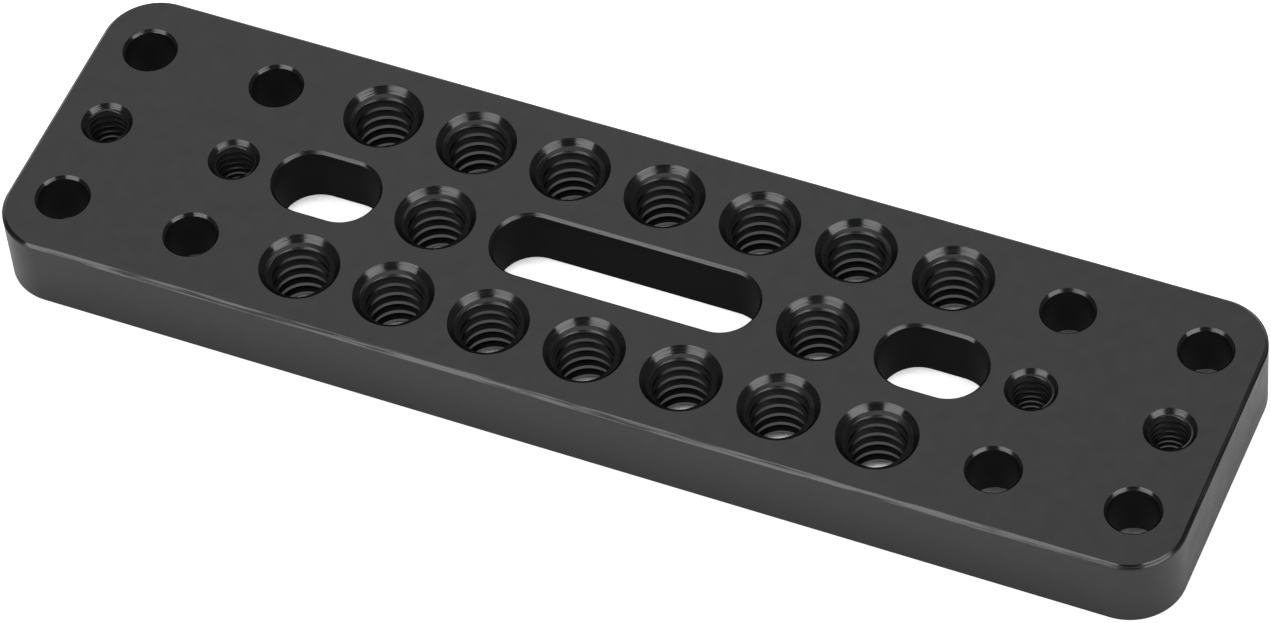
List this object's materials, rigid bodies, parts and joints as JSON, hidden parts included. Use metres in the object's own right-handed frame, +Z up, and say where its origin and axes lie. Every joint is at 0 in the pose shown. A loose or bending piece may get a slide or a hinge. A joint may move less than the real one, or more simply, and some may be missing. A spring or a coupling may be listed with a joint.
{
  "type": "monitor mounting plate",
  "caption": "Flat rounded aluminium plate with rows of tapped holes, plain screw holes and slots, for fixing a camera monitor or accessories.",
  "frame": {"origin": "middle of the underside, on the plane that the plate rests on", "axes": "+X along the plate's length, +Y to its back edge, +Z up out of the top face"},
  "size_m": [0.11, 0.03, 0.0078],
  "materials": {
    "black_anodised": "black anodised, bead blasted satin"
  },
  "bodies": {
    "root": {"mounting_plate": "black_anodised"}
  },
  "joints": []
}
